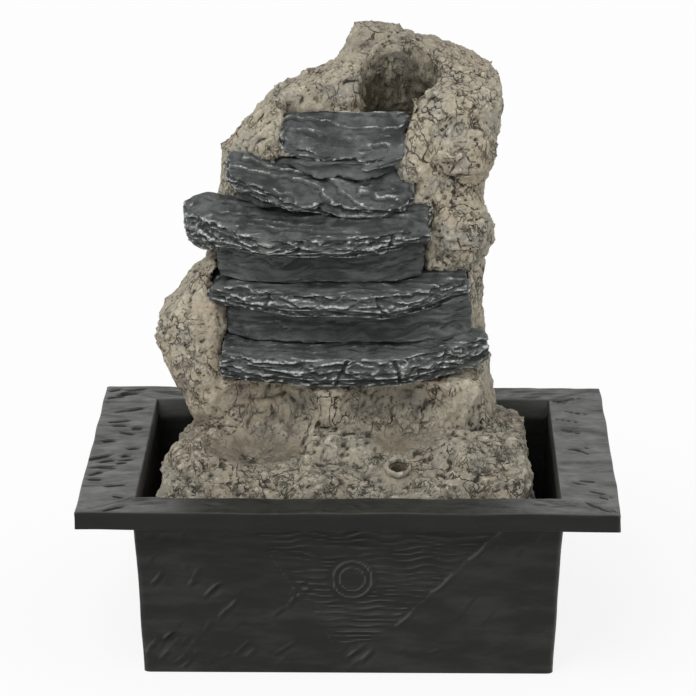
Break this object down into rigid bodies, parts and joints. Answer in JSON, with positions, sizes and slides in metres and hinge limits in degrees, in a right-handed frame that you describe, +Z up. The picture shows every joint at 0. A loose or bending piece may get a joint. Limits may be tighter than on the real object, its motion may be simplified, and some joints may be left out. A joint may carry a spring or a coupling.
{
  "type": "indoor fountain",
  "caption": "Tabletop fountain: a rocky cascade with layered slate steps, a well at the crown and a lamp in its foot, standing in a square flanged tub that hides a small pump.",
  "frame": {"origin": "middle of the tub's footprint on the table", "axes": "+X to the right seen from the front, +Y to the back, +Z up"},
  "size_m": [0.21, 0.17, 0.2385],
  "materials": {
    "tub_plastic": "satin black moulded plastic with a slate-like relief",
    "rock_resin": "cast resin stone, beige with dark crackle",
    "slate_resin": "split slate, dark with pale dry-brushed edges",
    "pump_plastic": "black moulded plastic",
    "dial_plastic": "grey moulded plastic",
    "soft_rubber": "black rubber",
    "clear_vinyl": "clear vinyl tube",
    "spout_plastic": "dark moulded plastic",
    "lamp_shell": "black lamp cup",
    "lamp_glass": "clear moulded lens",
    "core_steel": "laminated steel",
    "coil_copper": "enamelled copper winding",
    "potting_resin": "black epoxy",
    "magnet_ferrite": "ferrite magnet",
    "shaft_ceramic": "white ceramic"
  },
  "bodies": {
    "basin": {"tub": "tub_plastic", "pump_case": "pump_plastic", "stator_core": "core_steel", "stator_coil": "coil_copper", "potting": "potting_resin", "impeller_cover": "pump_plastic", "cover_o_ring": "soft_rubber", "rotor_shaft": "shaft_ceramic", "shaft_bushes": "soft_rubber", "intake_grille": "pump_plastic", "suction_cups": "soft_rubber", "cable_gland": "soft_rubber"},
    "rock": {"rock_foot": "rock_resin", "rock_waist": "rock_resin", "rock_body": "rock_resin", "rock_crown": "rock_resin", "slab_lowest": "slate_resin", "slab_fourth": "slate_resin", "slab_third": "slate_resin", "slab_second": "slate_resin", "slab_top": "slate_resin", "block_lowest": "slate_resin", "block_fourth": "slate_resin", "block_third": "slate_resin", "block_second": "slate_resin", "water_pipe": "clear_vinyl", "spout": "spout_plastic", "lamp_cup": "lamp_shell", "lamp_lens": "lamp_glass", "lamp_grommet": "soft_rubber"},
    "rotor": {"rotor_magnet": "magnet_ferrite", "impeller": "dial_plastic"},
    "dial": {"flow_dial": "dial_plastic"}
  },
  "joints": [
    {"name": "rock_lift", "type": "slide", "parent": "basin", "child": "rock", "axis": [0, 0, 1], "range_m": [0, 0.085]},
    {"name": "rotor_spin", "type": "hinge", "parent": "basin", "child": "rotor", "pos_m": [0.01, 0.0285, 0.023], "axis": [1, 0, 0], "continuous": true},
    {"name": "flow_dial_turn", "type": "hinge", "parent": "basin", "child": "dial", "pos_m": [0.037, 0.0285, 0.023], "axis": [1, 0, 0], "range_deg": [0, 90]}
  ]
}
